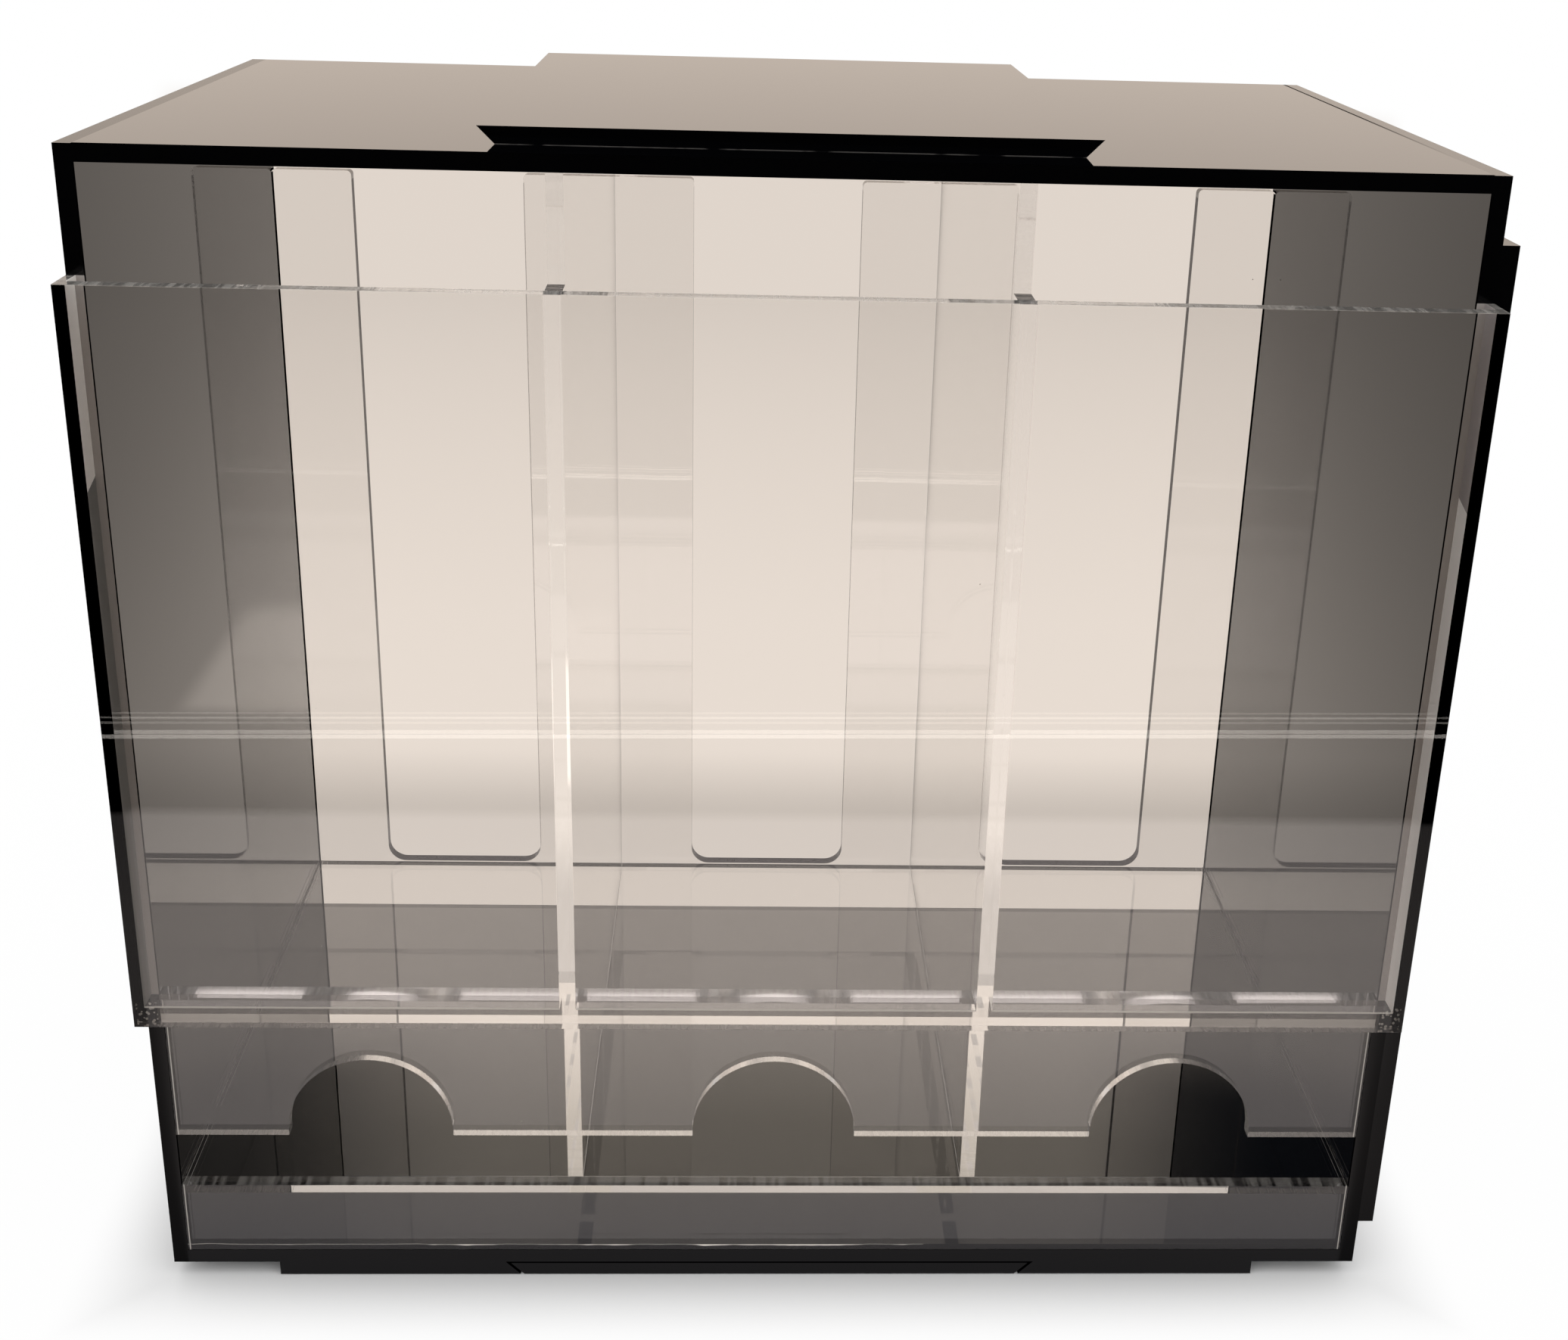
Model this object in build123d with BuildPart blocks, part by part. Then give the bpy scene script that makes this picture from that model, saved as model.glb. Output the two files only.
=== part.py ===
from build123d import *
import os

os.makedirs("parts", exist_ok=True)

# Three-column dispenser for foil packs, cemented up from flat acrylic sheet.
# Millimetres, X across, Y from the front to the back, Z up.
# The origin is the middle of the footprint, at the height of the table.

# Sheet and box
sheet = 3.0                # thickness of every sheet
box_width = 240.0
box_depth = 145.0          # front to back of the black panels
box_height = 220.0
foot = sheet               # height of the strips under the box

# Inside
floor_top = 18.5           # clear floor above the underside of the box
divider_centre = 39.5      # dividers either side of the middle
column_centre = 79.0

# Lower front panel with its thumb arches
panel_bottom = 30.3
thumb_radius = 16.0
thumb_leg = 1.2            # straight legs of an arch, below its half-round

# Raised window
window_bottom = 59.6
window_top = 198.6
stand_off = 5.0            # depth of the strips that carry the window
upright_wide = 1.6         # the two upright strips are thinner than the sheet

# Comb-shaped back
back_top = 196.0
slot_width = 39.5
slot_bottom = 18.8
slot_corner = 4.5
tooth_corner = 1.0

# Dovetails that lock one box to the next
rail_wide = 106.0
rail_narrow = rail_wide - 2 * sheet
rail_setback = 10.5
rail_play = 0.75           # each side, measured across the rail
key_drop = 0.35            # key sits this far below the box
base_strip_end = 99.0
side_strip_low = 10.0      # ends of the upright strips, above the underside
side_strip_high = 208.5

# Worked-out places
half_width = box_width / 2
half_inside = half_width - sheet
overall_depth = box_depth + stand_off + sheet
front = -overall_depth / 2 + stand_off + sheet
rear = front + box_depth
back_face = rear - sheet   # inner face of the comb-shaped back
middle = front + box_depth / 2
panel_top = window_bottom + sheet
slot_half_wide = rail_wide / 2 + rail_play
slot_half_narrow = slot_half_wide - sheet


def level(height):
    """Height above the table of a height above the underside of the box."""
    return foot + height


# Side panels, full height, with the top and bottom let in between them
with BuildPart() as left_side_panel:
    with BuildSketch(Plane.YZ.offset(-half_width)):
        with Locations((middle, level(box_height / 2))):
            Rectangle(box_depth, box_height)
    extrude(amount=sheet)
left_side_panel.part.label = "left_side_panel"

with BuildPart() as right_side_panel:
    add(left_side_panel.part)
    mirror(about=Plane.YZ, mode=Mode.REPLACE)
right_side_panel.part.label = "right_side_panel"

with BuildPart() as top_panel:
    with BuildSketch(Plane.XY.offset(level(box_height - sheet))):
        with Locations((0, middle)):
            Rectangle(2 * half_inside, box_depth)
    extrude(amount=sheet)
top_panel.part.label = "top_panel"

with BuildPart() as bottom_panel:
    with BuildSketch(Plane.XY.offset(level(0))):
        with Locations((0, middle)):
            Rectangle(2 * half_inside, box_depth)
    extrude(amount=sheet)
bottom_panel.part.label = "bottom_panel"

# Comb-shaped back: three open-topped slots, round at the foot, and four teeth
# with eased tips. It stands on the bottom panel, let in between the sides.
with BuildPart() as back_panel:
    with BuildSketch(Plane.XZ.offset(-back_face)) as comb:
        with Locations((0, level((sheet + back_top) / 2))):
            Rectangle(2 * half_inside, back_top - sheet)
        with Locations(*[(x, level(slot_bottom)) for x in (-column_centre, 0, column_centre)]):
            Rectangle(slot_width, box_height, align=(Align.CENTER, Align.MIN), mode=Mode.SUBTRACT)
        slot_feet = [v for v in comb.vertices() if abs(v.Y - level(slot_bottom)) < 0.01]
        fillet(slot_feet, slot_corner)
        tooth_tips = comb.vertices().group_by(Axis.Y)[-1]
        fillet(tooth_tips, tooth_corner)
    extrude(amount=-sheet)
back_panel.part.label = "back_panel"

# Clear floor on which the packs lie, level with the top of the riser in front
with BuildPart() as pack_floor:
    with BuildSketch(Plane.XY.offset(level(floor_top - sheet))):
        with Locations((0, (front + sheet + back_face) / 2)):
            Rectangle(2 * half_inside, box_depth - 2 * sheet)
    extrude(amount=sheet)
pack_floor.part.label = "pack_floor"

with BuildPart() as front_riser:
    with BuildSketch(Plane.XZ.offset(-front)):
        with Locations((0, level((sheet + floor_top) / 2))):
            Rectangle(2 * half_inside, floor_top - sheet)
    extrude(amount=-sheet)
front_riser.part.label = "front_riser"

# Dividers: each stands on the floor behind the lower front panel, reaches up to
# the roof, and has a nose that fills the depth of the raised window.
with BuildPart() as left_divider:
    with BuildSketch(Plane.YZ.offset(-divider_centre - sheet / 2)):
        with BuildLine():
            Polyline(
                (back_face, level(floor_top)),
                (front + sheet, level(floor_top)),
                (front + sheet, level(panel_top)),
                (front - stand_off, level(panel_top)),
                (front - stand_off, level(window_top - 0.5)),
                (front + sheet, level(window_top - 0.5)),
                (front + sheet, level(box_height - sheet)),
                (back_face, level(box_height - sheet)),
                close=True,
            )
        make_face()
    extrude(amount=sheet)
left_divider.part.label = "left_divider"

with BuildPart() as right_divider:
    add(left_divider.part)
    mirror(about=Plane.YZ, mode=Mode.REPLACE)
right_divider.part.label = "right_divider"

# Lower front panel, with a thumb arch at the foot of each column
with BuildPart() as lower_front_panel:
    with BuildSketch(Plane.XZ.offset(-front)):
        with Locations((0, level((panel_bottom + panel_top) / 2))):
            Rectangle(2 * half_inside, panel_top - panel_bottom)
        with Locations(*[(x, level(panel_bottom + thumb_leg)) for x in (-column_centre, 0, column_centre)]):
            Circle(thumb_radius, mode=Mode.SUBTRACT)
            Rectangle(2 * thumb_radius, 2 * thumb_leg, mode=Mode.SUBTRACT)
    extrude(amount=-sheet)
lower_front_panel.part.label = "lower_front_panel"

# Raised window: a sheet on three strips, open at the top
with BuildPart() as window_bottom_strip:
    with BuildSketch(Plane.XY.offset(level(window_bottom))):
        with Locations((0, front - stand_off / 2)):
            Rectangle(box_width, stand_off)
    extrude(amount=sheet)
window_bottom_strip.part.label = "window_bottom_strip"

with BuildPart() as window_left_strip:
    with BuildSketch(Plane.XY.offset(level(panel_top))):
        with Locations((-half_width + upright_wide / 2, front - stand_off / 2)):
            Rectangle(upright_wide, stand_off)
    extrude(amount=window_top - panel_top)
window_left_strip.part.label = "window_left_strip"

with BuildPart() as window_right_strip:
    add(window_left_strip.part)
    mirror(about=Plane.YZ, mode=Mode.REPLACE)
window_right_strip.part.label = "window_right_strip"

with BuildPart() as window_sheet:
    with BuildSketch(Plane.XZ.offset(-front + stand_off)):
        with Locations((0, level((window_bottom + window_top) / 2))):
            Rectangle(box_width, window_top - window_bottom)
    extrude(amount=sheet)
window_sheet.part.label = "window_sheet"

# Dovetail rail on the roof: wide at the top, its ends flush with the back
with BuildPart() as top_dovetail_rail:
    with BuildSketch(Plane.XZ.offset(-front - rail_setback)):
        with BuildLine():
            Polyline(
                (-rail_narrow / 2, level(box_height)),
                (rail_narrow / 2, level(box_height)),
                (rail_wide / 2, level(box_height + sheet)),
                (-rail_wide / 2, level(box_height + sheet)),
                close=True,
            )
        make_face()
    extrude(amount=-(box_depth - rail_setback))
top_dovetail_rail.part.label = "top_dovetail_rail"

# Strips under the box, whose bevelled ends make the matching slot
with BuildPart() as base_left_strip:
    with BuildSketch(Plane.XZ.offset(-front)):
        with BuildLine():
            Polyline(
                (-base_strip_end, 0),
                (-slot_half_narrow, 0),
                (-slot_half_wide, foot),
                (-base_strip_end, foot),
                close=True,
            )
        make_face()
    extrude(amount=-box_depth)
base_left_strip.part.label = "base_left_strip"

with BuildPart() as base_right_strip:
    add(base_left_strip.part)
    mirror(about=Plane.YZ, mode=Mode.REPLACE)
base_right_strip.part.label = "base_right_strip"

# Key that fills the slot under the lowest box and slides out to the front
with BuildPart() as base_dovetail_key:
    with BuildSketch(Plane.XZ.offset(-front)):
        with BuildLine():
            Polyline(
                (-rail_narrow / 2, 0),
                (rail_narrow / 2, 0),
                (rail_wide / 2 - key_drop, foot - key_drop),
                (-rail_wide / 2 + key_drop, foot - key_drop),
                close=True,
            )
        make_face()
    extrude(amount=-box_depth)
base_dovetail_key.part.label = "base_dovetail_key"

# Upright slot on the right side, made by two bevelled strips, and the rail on
# the left side that enters the slot of the next box
with BuildPart() as right_front_strip:
    with BuildSketch(Plane.XY.offset(level(side_strip_low))):
        with BuildLine():
            Polyline(
                (half_width, front),
                (half_width + sheet, front),
                (half_width + sheet, middle - slot_half_narrow),
                (half_width, middle - slot_half_wide),
                close=True,
            )
        make_face()
    extrude(amount=side_strip_high - side_strip_low)
right_front_strip.part.label = "right_front_strip"

with BuildPart() as right_rear_strip:
    add(right_front_strip.part)
    mirror(about=Plane.XZ.offset(-middle), mode=Mode.REPLACE)
right_rear_strip.part.label = "right_rear_strip"

with BuildPart() as left_dovetail_rail:
    with BuildSketch(Plane.XY.offset(level(side_strip_low))):
        with BuildLine():
            Polyline(
                (-half_width, middle - rail_narrow / 2),
                (-half_width - sheet, middle - rail_wide / 2),
                (-half_width - sheet, middle + rail_wide / 2),
                (-half_width, middle + rail_narrow / 2),
                close=True,
            )
        make_face()
    extrude(amount=side_strip_high - side_strip_low)
left_dovetail_rail.part.label = "left_dovetail_rail"

for name in (
    left_side_panel, right_side_panel, top_panel, bottom_panel, back_panel,
    pack_floor, front_riser, left_divider, right_divider, lower_front_panel,
    window_sheet, window_left_strip, window_right_strip, window_bottom_strip,
    top_dovetail_rail, base_left_strip, base_right_strip, base_dovetail_key,
    right_front_strip, right_rear_strip, left_dovetail_rail,
):
    export_step(name.part, "parts/" + name.part.label + ".step")
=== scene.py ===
import math

import bpy
from mathutils import Matrix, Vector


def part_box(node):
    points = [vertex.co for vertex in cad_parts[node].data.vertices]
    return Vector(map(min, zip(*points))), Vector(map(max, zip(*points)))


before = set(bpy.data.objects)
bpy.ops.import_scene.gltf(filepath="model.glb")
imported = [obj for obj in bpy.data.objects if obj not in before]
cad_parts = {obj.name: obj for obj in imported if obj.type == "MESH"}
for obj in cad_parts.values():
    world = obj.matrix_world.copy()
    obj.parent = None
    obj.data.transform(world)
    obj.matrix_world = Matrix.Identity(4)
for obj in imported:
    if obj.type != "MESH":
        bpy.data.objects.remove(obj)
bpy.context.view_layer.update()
bpy.ops.object.select_all(action="DESELECT")
bpy.context.scene.view_settings.view_transform = "Standard"


def corners(name):
    low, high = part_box(name)
    return [(low[i], high[i]) for i in range(3)]


# Where sheets are cemented, as ranges of |x|, y and z
side_x, side_y, side_z = corners("right_side_panel")
upright_x = corners("window_right_strip")[0]
divider_x, divider_y, divider_z = corners("right_divider")
floor_y, floor_z = corners("pack_floor")[1:]
back_y, back_z = corners("back_panel")[1:]
window_y, window_z = corners("window_sheet")[1:]
shelf_z = corners("window_bottom_strip")[2]
riser_y, riser_z = corners("front_riser")[1:]
arch_z = corners("lower_front_panel")[2]
rail_x, rail_y, rail_z = corners("top_dovetail_rail")
nose_top = window_z[1] - 0.0005
front_edge = side_y[0]
inside = (0.0, side_x[0])
JOINTS = [
    (divider_x, (back_y[0],) * 2, (floor_z[1], back_z[1])),
    (divider_x, floor_y, (divider_z[0],) * 2),
    (divider_x, (floor_y[0],) * 2, arch_z),
    (divider_x, (floor_y[0], side_y[1]), (divider_z[1],) * 2),
    (divider_x, (window_y[1],) * 2, (shelf_z[1], nose_top)),
    (divider_x, (window_y[1], floor_y[0]), (shelf_z[1],) * 2),
    (side_x, (side_y[0],) * 2, shelf_z),
    ((0.0, side_x[1]), (window_y[1],) * 2, shelf_z),
    (upright_x, (window_y[1],) * 2, window_z),
    (upright_x, (window_y[1], side_y[0]), (shelf_z[1],) * 2),
    (upright_x, (side_y[0],) * 2, window_z),
    (inside, (floor_y[0],) * 2, floor_z),
    (inside, (floor_y[1],) * 2, floor_z),
    (inside, riser_y, (riser_z[0],) * 2),
    (inside, back_y, (back_z[0],) * 2),
    ((side_x[0],) * 2, back_y, back_z),
    ((side_x[0],) * 2, riser_y, riser_z),
    ((side_x[0],) * 2, riser_y, arch_z),
]
# Where they are taken to touch without cement, with a breath of air between them
DRY_JOINTS = [
    (inside, (side_y[0],) * 2, shelf_z),
    ((side_x[0],) * 2, floor_y, floor_z),
]


# A point this close to a face, in metres, is on it
TOUCH = 0.0001
ACRYLIC_IOR = 1.49
BLACK = (0.0008, 0.0008, 0.001)
PALE_CEMENT = (0.80, 0.76, 0.71)
# Grey of the painted sheen on the walls' front edges behind the window
GREY_PAINTED_SHEEN = (0.34, 0.31, 0.29)
LINT = (0.09, 0.085, 0.08)
SCORCH = (0.030, 0.022, 0.034)
# Height, measured on the slant, at which the painted light and shade on the uprights changes
PAINTED_LIGHT_CHANGE = 0.1880
PAINTED_LIGHT_SLANT = 0.3
# Sockets by number: object coordinates, and whether a ray is a shadow ray
OBJECT_PLACE = 3
SHADOW_RAY = 1


class Wire:
    """A shader value that is worked with as a number or a colour."""

    def __init__(self, tree, socket):
        self.tree = tree
        self.socket = socket

    def maths(self, operation, *others):
        return node(self.tree, "ShaderNodeMath", {"operation": operation}, dict(enumerate((self, *others))))

    def __add__(self, other):
        return self.maths("ADD", other)

    __radd__ = __add__

    def __mul__(self, other):
        return self.maths("MULTIPLY", other)

    __rmul__ = __mul__

    def __sub__(self, other):
        return self.maths("SUBTRACT", other)

    def __rsub__(self, other):
        return node(self.tree, "ShaderNodeMath", {"operation": "SUBTRACT"}, {0: other, 1: self})

    def __truediv__(self, other):
        return self.maths("DIVIDE", other)

    def __abs__(self):
        return self.maths("ABSOLUTE")

    def at_most(self, other):
        return self.maths("MINIMUM", other)

    def at_least(self, other):
        return self.maths("MAXIMUM", other)

    def over(self, level):
        return self.maths("GREATER_THAN", level)

    def ramp_to(self, low, high):
        return node(self.tree, "ShaderNodeMapRange", {"interpolation_type": "SMOOTHSTEP"},
                    {"Value": self, "From Min": low, "From Max": high})


def node(tree, kind, settings=None, sockets=None, output=0):
    """Adds a node, with its settings first and then the values or links of its sockets."""
    made = tree.nodes.new(kind)
    for name, value in (settings or {}).items():
        if name == "stops":
            while len(made.color_ramp.elements) < len(value):
                made.color_ramp.elements.new(1.0)
            for stop, (place, colour) in zip(made.color_ramp.elements, value):
                stop.position = place
                stop.color = (*colour, 1.0)
        else:
            setattr(made, name, value)
    for name, value in (sockets or {}).items():
        if isinstance(value, Wire):
            tree.links.new(value.socket, made.inputs[name])
        else:
            made.inputs[name].default_value = value
    return Wire(tree, made.outputs[output])


def new_material(name):
    material = bpy.data.materials.new(name)
    material.use_nodes = True
    material.node_tree.nodes.clear()
    return material, material.node_tree


def finish_material(tree, shader):
    output = tree.nodes.new("ShaderNodeOutputMaterial")
    tree.links.new(shader.socket, output.inputs["Surface"])


def dress(material, *names):
    for name in names:
        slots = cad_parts[name].data.materials
        slots.clear()
        slots.append(material)


def place_on(tree):
    """Where a point of the piece lies: across, along and up."""
    split = tree.nodes.new("ShaderNodeSeparateXYZ")
    place = tree.nodes.new("ShaderNodeTexCoord")
    tree.links.new(place.outputs["Object"], split.inputs[0])
    return [Wire(tree, socket) for socket in split.outputs]


def near(value, target, reach):
    return 1.0 - abs(value - target).over(reach)


def between(value, low, high):
    return value.over(low) * (1.0 - value.over(high))


def noise(tree, scale, detail):
    place = node(tree, "ShaderNodeTexCoord", output=OBJECT_PLACE)
    return node(tree, "ShaderNodeTexNoise", {"noise_dimensions": "3D"},
                {"Vector": place, "Scale": scale, "Detail": detail})


def diffuse(tree, colour):
    return node(tree, "ShaderNodeBsdfDiffuse", None, {"Color": (*colour, 1)})


def mix(tree, factor, first, second):
    return node(tree, "ShaderNodeMixShader", None, {0: factor, 1: first, 2: second})


def brightened(tree, colour, factor):
    return node(tree, "ShaderNodeVectorMath", {"operation": "SCALE"}, {0: colour, "Scale": factor})


def meeting(tree, places):
    """1 where two sheets lie face to face in one of these places."""
    across, along, up = place_on(tree)
    across = abs(across)

    def band(value, low, high):
        low, high = (low - 0.00005, high + 0.00005)
        return abs(value - (low + high) / 2) - (high - low) / 2

    joints = None
    for x, y, z in places:
        outside = band(across, *x).at_least(band(along, *y)).at_least(band(up, *z))
        joints = outside if joints is None else joints.at_most(outside)
    return 1.0 - joints.over(0.0)


def seam(tree):
    """Thin lines of cement at the riser's foot, round the window and along the floor's ends."""
    across, along, up = place_on(tree)
    wide = abs(across)
    wave = (noise(tree, 60.0, 3.0) - 0.5) * 2.0
    on_front = near(along, front_edge, 2 * TOUCH)
    foot = near(up + wave * 0.0006, riser_z[0] + 0.0012, wave.at_least(0.0) * 0.0005 + 0.00009)
    foot = foot * on_front * (1.0 - across.over(0.031)) * up.over(riser_z[0])
    foot = foot * (0.25 + wave.ramp_to(-0.1, 0.3) * 0.7)
    ends = near(wide, side_x[0] - 0.0005, 0.00012) * on_front * wave.over(-0.25)
    behind = near(along, window_y[1], TOUCH)
    low = near(up, shelf_z[1] + 0.00018, 0.00022) * behind
    floor_ends = near(wide, side_x[0] - 0.0004, 0.00007).at_least(near(wide, side_x[0] - 0.0012, 0.00005))
    floor_ends = floor_ends * near(up, floor_z[1], TOUCH) * wave.ramp_to(-0.5, 0.2)
    return foot.at_least(ends * 0.4).at_least(low * 0.7).at_least(floor_ends * 0.5)


def bubbles(tree):
    """Small bubbles in the cement at the window's two lower corners."""
    across, along, up = place_on(tree)
    cells = tree.nodes.new("ShaderNodeTexVoronoi")
    cells.inputs["Scale"].default_value = 1400.0
    place = node(tree, "ShaderNodeTexCoord", output=OBJECT_PLACE)
    tree.links.new(place.socket, cells.inputs["Vector"])
    round_ones = 1.0 - Wire(tree, cells.outputs["Distance"]).over(0.38)
    corner = near(along, window_y[1], 0.0002) * between(up, shelf_z[0], shelf_z[1] + 0.0012)
    return round_ones * corner * abs(across).over(side_x[0] - 0.001)


def cut_edge(tree, axis):
    """1 on the edges of a sheet, where the blade or the beam went through, and 0 on its faces."""
    split = tree.nodes.new("ShaderNodeSeparateXYZ")
    shape = tree.nodes.new("ShaderNodeNewGeometry")
    tree.links.new(shape.outputs["Normal"], split.inputs[0])
    return 1.0 - abs(Wire(tree, split.outputs[axis])).over(0.6)


def black_acrylic(name, axis, high_haze, edge_haze):
    """Polished black sheet, a little hazed high up by handling, and duller on its cut edges."""
    material, tree = new_material(name)
    across, along, up = place_on(tree)
    edge = cut_edge(tree, axis)
    roughness = noise(tree, 22.0, 3.0).ramp_to(0.35, 0.8) * 0.02 + 0.012 + edge * 0.10
    polish = node(tree, "ShaderNodeBsdfPrincipled", None, {
        "Base Color": (*BLACK, 1), "Roughness": roughness, "IOR": ACRYLIC_IOR})
    matt = diffuse(tree, BLACK)
    # The sides' top edges are less dull than their front edges, the right one least of all
    roof_level = near(up, side_z[1], TOUCH)
    spared = roof_level * (0.55 + across.over(0.0) * 0.30)
    dull = up.ramp_to(0.08, 0.19) * (1.0 - edge) * high_haze + edge * (1.0 - spared) * edge_haze
    # The saw has left a dull line just behind the front edges
    dull = dull.at_least((1.0 - along.over(front_edge + 0.0008)) * (1.0 - edge))
    # The joint of the roof with the right side is open to the eye as a black line
    open_joint = near(across, side_x[0], 0.0003) * roof_level * along.ramp_to(-0.06, 0.02)
    shader = mix(tree, dull.at_least(meeting(tree, JOINTS)).at_least(open_joint * 0.9), polish, matt)
    # The walls' front edges behind the window get a painted grey sheen, standing in for the light they
    # reflect there, and lint lies at the rail's foot
    wide = abs(across)
    painted_sheen = near(along, front_edge, 2 * TOUCH) * between(wide, side_x[0], upright_x[0])
    painted_sheen = painted_sheen * between(up, shelf_z[1], window_z[1])
    shader = mix(tree, painted_sheen, shader, diffuse(tree, GREY_PAINTED_SHEEN))
    lint = near(along, rail_y[0] - 0.0001, 0.00025) * near(up, rail_z[0], TOUCH)
    lint = lint * noise(tree, 150.0, 2.0).ramp_to(0.42, 0.55) * (1.0 - wide.over(rail_x[1] - 0.003))
    shader = mix(tree, lint, shader, diffuse(tree, LINT))
    finish_material(tree, shader)
    return material


def clear_acrylic(name, axis, edge_roughness, frost, film=1.0):
    """Clear cast sheet, faintly warm, with fine cutting marks across its edges. Lamps shine through it."""
    material, tree = new_material(name)
    across, along, up = place_on(tree)
    edge = cut_edge(tree, axis)
    roughness = noise(tree, 30.0, 2.0).ramp_to(0.3, 0.8) * 0.006 + 0.001 + edge * edge_roughness
    # The marks run through the sheet from face to face, so they lie along its edges as fine bars
    place = node(tree, "ShaderNodeTexCoord", output=OBJECT_PLACE)
    through_sheet = [60.0 if i == axis else 900.0 for i in range(3)]
    marks = node(tree, "ShaderNodeMapping", None, {"Vector": place, "Scale": through_sheet})
    marks = node(tree, "ShaderNodeTexNoise", {"noise_dimensions": "3D"},
                 {"Vector": marks, "Scale": 1.0, "Detail": 1.0})
    wavy = node(tree, "ShaderNodeBump", None,
                {"Height": marks * edge, "Strength": 0.12, "Distance": 0.0002})
    glass = node(tree, "ShaderNodeBsdfPrincipled", None, {
        "Base Color": (0.97, 0.965, 0.96, 1), "Roughness": roughness, "IOR": ACRYLIC_IOR,
        "Transmission Weight": 1.0, "Normal": wavy})
    # Cut edges are slightly frosted, and the window's open top edge most of all
    top = near(up, window_z[1], TOUCH) * (1.0 - along.over(front_edge + TOUCH))
    frosted = edge * marks.ramp_to(0.35, 0.65) * frost + top * (0.14 + marks.ramp_to(0.4, 0.7) * 0.16)
    # Specks of dust, and whitish cement that has crept out along some seams
    cells = tree.nodes.new("ShaderNodeTexVoronoi")
    cells.inputs["Scale"].default_value = 90.0
    tree.links.new(place.socket, cells.inputs["Vector"])
    chosen = node(tree, "ShaderNodeTexWhiteNoise", {"noise_dimensions": "3D"},
                  {"Vector": Wire(tree, cells.outputs["Position"])})
    speck = chosen.over(0.90) * (1.0 - Wire(tree, cells.outputs["Distance"]).over(0.016)) * 0.8
    pale = diffuse(tree, PALE_CEMENT)
    glass = mix(tree, speck.at_least(seam(tree)).at_least(frosted), glass, pale)
    through = node(tree, "ShaderNodeBsdfTransparent", None, {"Color": (0.93, 0.925, 0.92, 1)})
    path = node(tree, "ShaderNodeLightPath", output=SHADOW_RAY)
    shader = mix(tree, path, glass, through)
    joint = node(tree, "ShaderNodeBsdfTransparent", None, {"Color": (film, film, film, 1)})
    shader = mix(tree, meeting(tree, JOINTS), shader, joint)
    # Air between two faces lets a steep ray through and throws a shallow one back
    mirror = node(tree, "ShaderNodeBsdfGlossy", None, {"Color": (1.0, 0.94, 0.88, 1), "Roughness": 0.0})
    shallow = node(tree, "ShaderNodeFresnel", None, {"IOR": ACRYLIC_IOR})
    shader = mix(tree, meeting(tree, DRY_JOINTS), shader, mix(tree, shallow, joint, mirror))
    shader = mix(tree, bubbles(tree) * 0.6, shader, pale)
    # Looked at from within, the outer side faces of the window and its uprights are painted black, standing
    # in for the darkness seen through them
    shape = tree.nodes.new("ShaderNodeNewGeometry")
    painted_dark_outer = Wire(tree, shape.outputs["Backfacing"]) * near(abs(across), side_x[1], TOUCH)
    shader = mix(tree, painted_dark_outer, shader, diffuse(tree, BLACK))
    # Painted light and shade on the uprights' inner faces: white low on the right, grey high on it, dark
    # grey low on the left and white high on it
    painted_light_faces = near(abs(across), upright_x[0], TOUCH) * between(along, window_y[1], front_edge)
    painted_light_faces = painted_light_faces * between(up, shelf_z[1], window_z[1])
    high = (up - along * PAINTED_LIGHT_SLANT).over(PAINTED_LIGHT_CHANGE)
    right = across.over(0.0)
    shader = mix(tree, painted_light_faces * right * (1.0 - high), shader, diffuse(tree, (1.0, 0.97, 0.94)))
    shader = mix(tree, painted_light_faces * right * high * 0.85, shader, diffuse(tree, (0.45, 0.41, 0.40)))
    shader = mix(tree, painted_light_faces * (1.0 - right) * (1.0 - high) * 0.9, shader,
                 diffuse(tree, (0.26, 0.25, 0.235)))
    shader = mix(tree, painted_light_faces * (1.0 - right) * high, shader, diffuse(tree, (1.0, 0.95, 0.90)))
    # The beam has scorched the edges of the comb's slots
    scorched = edge * near(along, (back_y[0] + back_y[1]) / 2, 0.0016) * (1.0 - up.over(back_z[1] - 0.002))
    scorched = scorched * (1.0 - abs(across).over(side_x[0] - 0.001)) * up.over(floor_z[1])
    scorched = scorched * (1.0 - between(abs(across), divider_x[0] - 0.002, divider_x[1] + 0.002))
    shader = mix(tree, scorched * 0.45, shader, diffuse(tree, SCORCH))
    finish_material(tree, shader)
    return material


dress(black_acrylic("black_walls", 0, 0.27, 0.45), "left_side_panel", "right_side_panel")
dress(black_acrylic("black_strips", 0, 0.15, 0.0), "right_front_strip", "right_rear_strip",
      "left_dovetail_rail")
dress(black_acrylic("black_decks", 2, 0.0, 0.62), "top_panel", "bottom_panel", "top_dovetail_rail",
      "base_left_strip", "base_right_strip", "base_dovetail_key")
dress(clear_acrylic("clear_window", 1, 0.02, 0.05), "window_sheet")
dress(clear_acrylic("clear_back", 1, 0.02, 0.0), "back_panel")
dress(clear_acrylic("clear_fronts", 1, 0.20, 0.14), "front_riser", "lower_front_panel")
dress(clear_acrylic("clear_dividers", 0, 0.08, 0.10), "left_divider", "right_divider")
dress(clear_acrylic("clear_strips", 0, 0.02, 0.0), "window_left_strip", "window_right_strip")
dress(clear_acrylic("clear_decks", 2, 0.12, 0.10, 0.91), "pack_floor", "window_bottom_strip")


def mirrored(tree):
    """1 for what is seen by way of a reflection, however many sheets it comes through."""
    path = tree.nodes.new("ShaderNodeLightPath")
    return Wire(tree, path.outputs["Glossy Depth"]).over(0.5)


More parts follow.
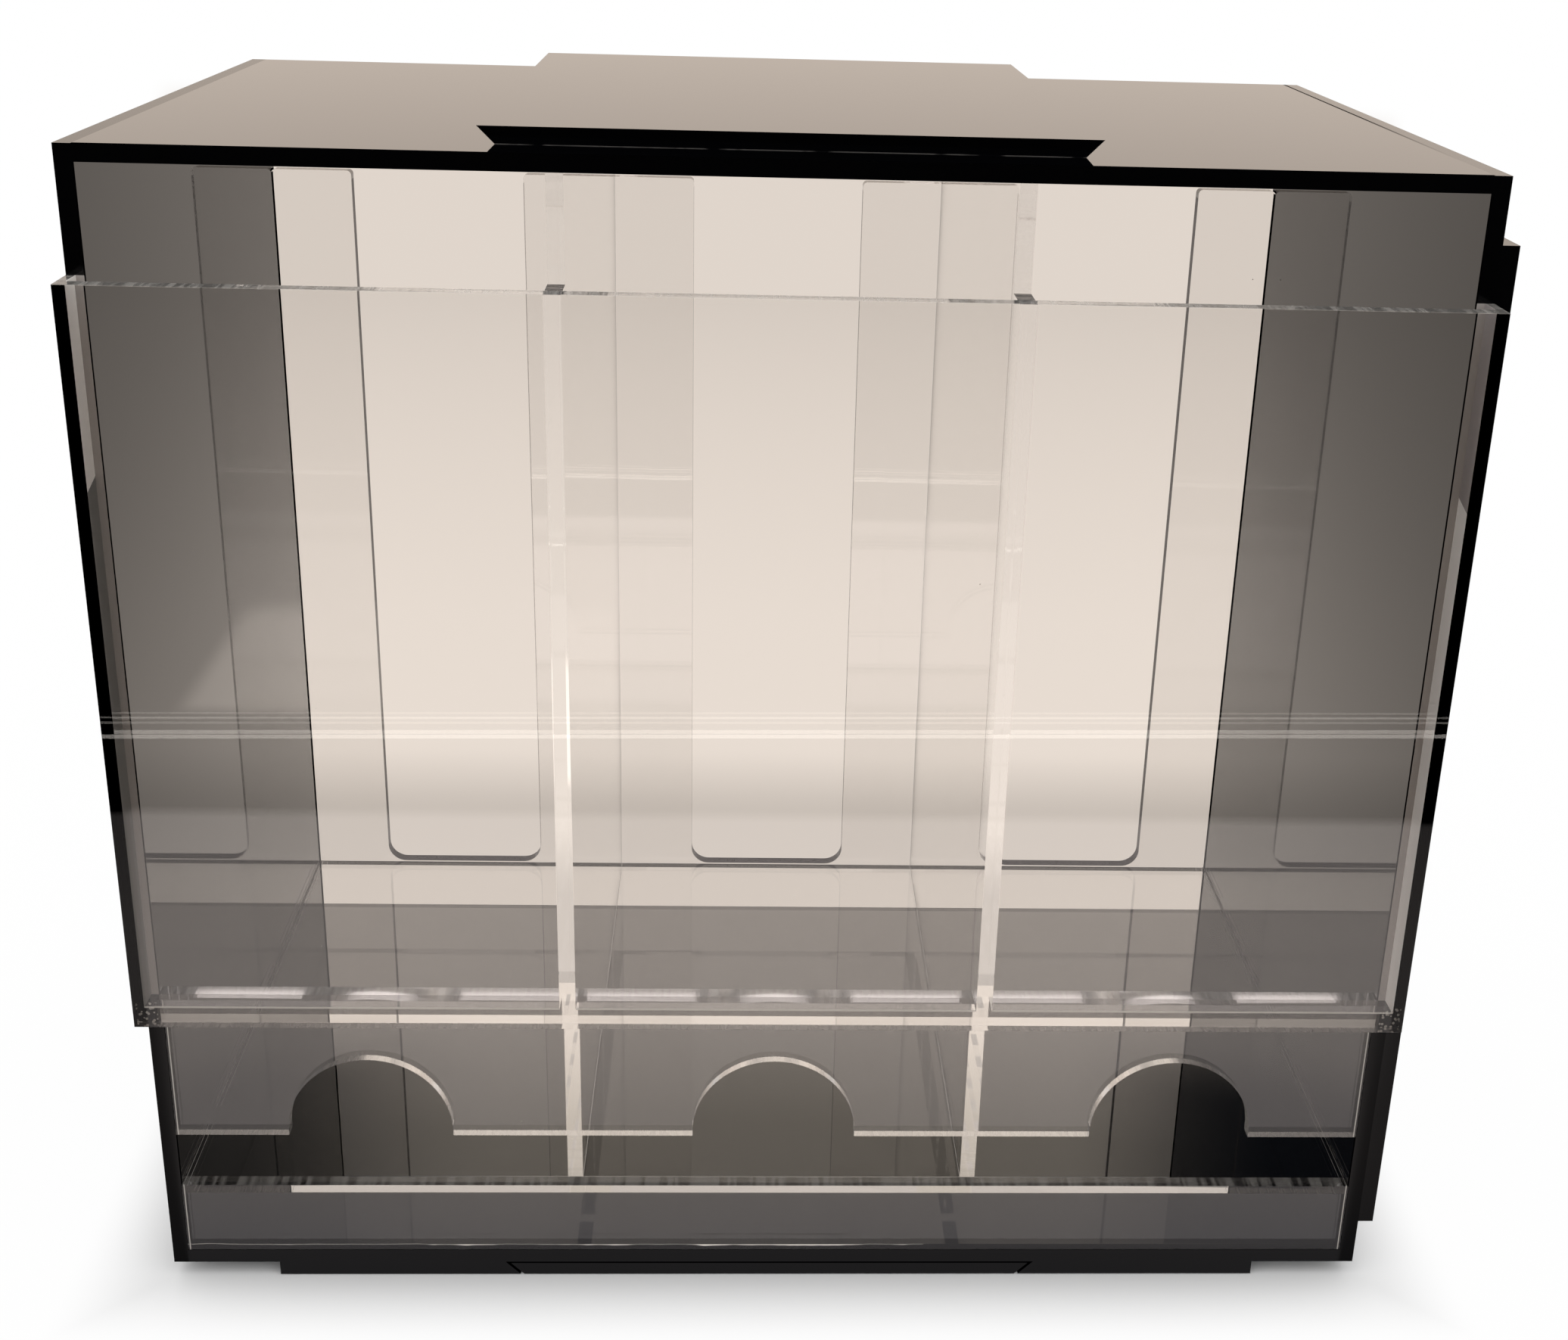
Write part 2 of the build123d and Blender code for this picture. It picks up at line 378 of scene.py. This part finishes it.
# A plain card behind the box: dim in the box's shadow, light past it, and dimmer far away
CARD = [(0.155, 0.59), (0.195, 0.81), (0.32, 0.80), (0.90, 0.67)]
CARD_TINT = (1.11, 0.995, 0.895)
CARD_REACH = 1.7


def card_colours(tree, along):
    stops = [(far / CARD_REACH, tuple(level * tint for tint in CARD_TINT)) for far, level in CARD]
    return node(tree, "ShaderNodeValToRGB", {"stops": stops}, {0: along / CARD_REACH})


def pale_floor():
    """A white table. Past the box a warm card lies on it, seen through the box and in its walls."""
    bpy.ops.mesh.primitive_plane_add(size=30, location=(0, 0, -0.0002))
    floor = bpy.context.object
    floor.name = "floor"
    material, tree = new_material("pale_floor")
    across, along, _ = place_on(tree)
    card_colour = card_colours(tree, along)
    # It lies straight behind the box, flares away from it, and has a soft edge
    on_card = 1.0 - (abs(across - along * 0.02) - along * 0.29).ramp_to(0.105, 0.140)
    on_card = on_card * along.ramp_to(0.08, 0.11) * (1.0 - along.ramp_to(1.6, 2.2))
    path = tree.nodes.new("ShaderNodeLightPath")
    to_camera = Wire(tree, path.outputs["Is Camera Ray"])
    through = Wire(tree, path.outputs["Is Transmission Ray"])
    past = along.over(side_y[1])
    # The card widens away from the box, and so does the painted reflection in front
    card_wide = 1.0 - (abs(across) - along * 0.3).ramp_to(0.15, 0.30)
    # Round the box the table is white, with the box's soft shadow close to it
    matt = diffuse(tree, (0.90, 0.84, 0.78))
    away = (abs(across) - side_x[1]).at_least(abs(along - (side_y[0] + side_y[1]) / 2)
                                              - (side_y[1] - side_y[0]) / 2)
    white = node(tree, "ShaderNodeEmission", None, {"Color": (1, 1, 1, 1), "Strength": 1.0})
    table = mix(tree, away.ramp_to(-0.002, 0.022) * 0.97, diffuse(tree, (0.99, 0.99, 0.99)), white)
    shader = mix(tree, to_camera.at_least(through), matt, table)
    card = node(tree, "ShaderNodeEmission", None, {"Color": card_colour, "Strength": 1.0})
    shader = mix(tree, (to_camera * on_card).at_least(through * past * card_wide), shader, card)
    # What the polished walls mirror of the card: a painted reflection that glows, with a painted pool of
    # light to the left
    painted_light_pool = (1.0 - across.ramp_to(-0.046, -0.036)) * along.ramp_to(0.218, 0.232)
    painted_light_pool = painted_light_pool * (1.0 - along.ramp_to(0.31, 0.34)) * 0.42 + 1.0
    behind = brightened(tree, card_colour, painted_light_pool)
    behind = node(tree, "ShaderNodeEmission", None, {"Color": behind, "Strength": 1.0})
    shader = mix(tree, mirrored(tree) * past * card_wide, shader, behind)
    # In front the table glows as a painted reflection that only the window and the fronts mirror, with a
    # hem and bright lines
    ahead = (front_edge - along).at_least(0.0)
    front_glow = node(tree, "ShaderNodeValToRGB", {"stops": [
        (0.0, (0.50, 0.48, 0.50)), (0.035, (0.74, 0.67, 0.65)), (0.16, (0.84, 0.76, 0.73)),
        (0.227, (0.67, 0.61, 0.59)),
        (0.2285, (0, 0, 0))]},
        {0: ahead})
    # Its lit middle starts as wide as the box and flares; beside it the painted reflection is dim
    lit = abs(across - ahead * 0.024) - ahead * 0.35
    beside = lit.over(0.1148) * ahead.over(0.11) * 0.87 + lit.over(0.117) * (1.0 - ahead.over(0.11)) * 1.1
    front_glow = node(tree, "ShaderNodeEmission", None, {"Color": brightened(tree, front_glow, 1.45 - beside)})
    # Past its hem lie a painted bright line and, farther off, two fine ones, a little aslant; they glow as
    # painted highlights
    aslant = ahead + 0.0017 - across * 0.027
    bright_lines = near(aslant, 0.2926, 0.0016).at_least(near(aslant, 0.3040, 0.0009) * 0.4)
    bright_lines = bright_lines.at_least(near(aslant, 0.3084, 0.0008) * 0.4)
    bright_line_glow = node(tree, "ShaderNodeEmission", None, {"Color": (1.0, 0.94, 0.87, 1), "Strength": 3.6})
    front_glow = mix(tree, bright_lines, front_glow, bright_line_glow)
    front_glow_wide = 1.0 - (abs(across) - ahead * 0.45).ramp_to(0.15, 0.30)
    shader = mix(tree, mirrored(tree) * ahead.over(0.0) * front_glow_wide, shader, front_glow)
    finish_material(tree, shader)
    floor.data.materials.append(material)


def studio():
    """An even pale room: white light on what is matt, and its warm walls in what is polished."""
    world = bpy.data.worlds.new("studio")
    bpy.context.scene.world = world
    world.use_nodes = True
    tree = world.node_tree
    tree.nodes.clear()
    split = tree.nodes.new("ShaderNodeSeparateXYZ")
    place = tree.nodes.new("ShaderNodeTexCoord")
    tree.links.new(place.outputs["Generated"], split.inputs[0])
    across, along, up = (Wire(tree, socket) for socket in split.outputs)
    path = tree.nodes.new("ShaderNodeLightPath")
    seen = (Wire(tree, path.outputs["Is Camera Ray"]) + Wire(tree, path.outputs["Is Glossy Ray"])
            + Wire(tree, path.outputs["Is Transmission Ray"])).at_most(1.0)
    light = node(tree, "ShaderNodeBackground", None, {"Color": (1, 1, 1, 1), "Strength": 1.0})
    # By height: the rear wall, its brightest band, and the dimmer ceiling over it
    height = node(tree, "ShaderNodeValToRGB", {"stops": [
        (0.0, (0.86, 0.74, 0.64)), (0.30, (0.86, 0.74, 0.64)), (0.47, (0.93, 0.82, 0.72)),
        (0.52, (0.93, 0.82, 0.72)), (0.56, (0.62, 0.55, 0.47)), (0.75, (0.50, 0.45, 0.40))]},
        {0: up})
    # To the sides of the ceiling it is darker still, most of all to the left
    side = across.ramp_to(0.15, 0.23).at_least((across * -1.0).ramp_to(0.10, 0.26) * 1.6)
    corner = (side * up.ramp_to(0.505, 0.54) * 0.60).at_most(0.95)
    # In front of the box the room is dark
    ahead = (along * -1.0).ramp_to(0.2, 0.6) * (1.0 - up.ramp_to(0.2, 0.7))
    dim = mirrored(tree) * (1.0 - (1.0 - corner) * (1.0 - ahead * 0.98))
    height = node(tree, "ShaderNodeMix", {"data_type": "RGBA"},
                  {0: dim, 6: height, 7: (0.02, 0.03, 0.05, 1)}, output=2)
    walls = node(tree, "ShaderNodeBackground", None, {"Color": height, "Strength": 1.0})
    mixed = node(tree, "ShaderNodeMixShader", None, {0: seen, 1: light, 2: walls})
    output = tree.nodes.new("ShaderNodeOutputWorld")
    tree.links.new(mixed.socket, output.inputs["Surface"])


# The photograph's viewpoint, fitted to the corners of the box; lengths on the picture are in its pixels
EYE = (-0.00813, -0.41179, 0.26937)
YAW, PITCH, ROLL = -0.0470, 0.3788, -0.0295
PICTURE_WIDTH = 2072
FOCAL_LENGTH = 2706.08
SHIFT = (-57.35, 2.25)
SENSOR_WIDTH = 36.0


def camera():
    data = bpy.data.cameras.new("camera")
    data.sensor_width = SENSOR_WIDTH
    data.lens = FOCAL_LENGTH * SENSOR_WIDTH / PICTURE_WIDTH
    data.shift_x = SHIFT[0] / PICTURE_WIDTH
    data.shift_y = SHIFT[1] / PICTURE_WIDTH
    data.clip_start = 0.01
    data.clip_end = 60.0
    eye = bpy.data.objects.new("camera", data)
    bpy.context.collection.objects.link(eye)
    look = (Matrix.Rotation(YAW, 4, "Z") @ Matrix.Rotation(-PITCH, 4, "X")
            @ Matrix.Rotation(ROLL, 4, "Y") @ Matrix.Rotation(math.pi / 2, 4, "X"))
    eye.matrix_world = Matrix.Translation(EYE) @ look
    bpy.context.scene.camera = eye


pale_floor()
studio()
camera()

# Light passes many faces on its way through the sheets
rays = bpy.context.scene.cycles
for count in ("max_bounces", "glossy_bounces", "transmission_bounces", "transparent_max_bounces"):
    setattr(rays, count, 64)
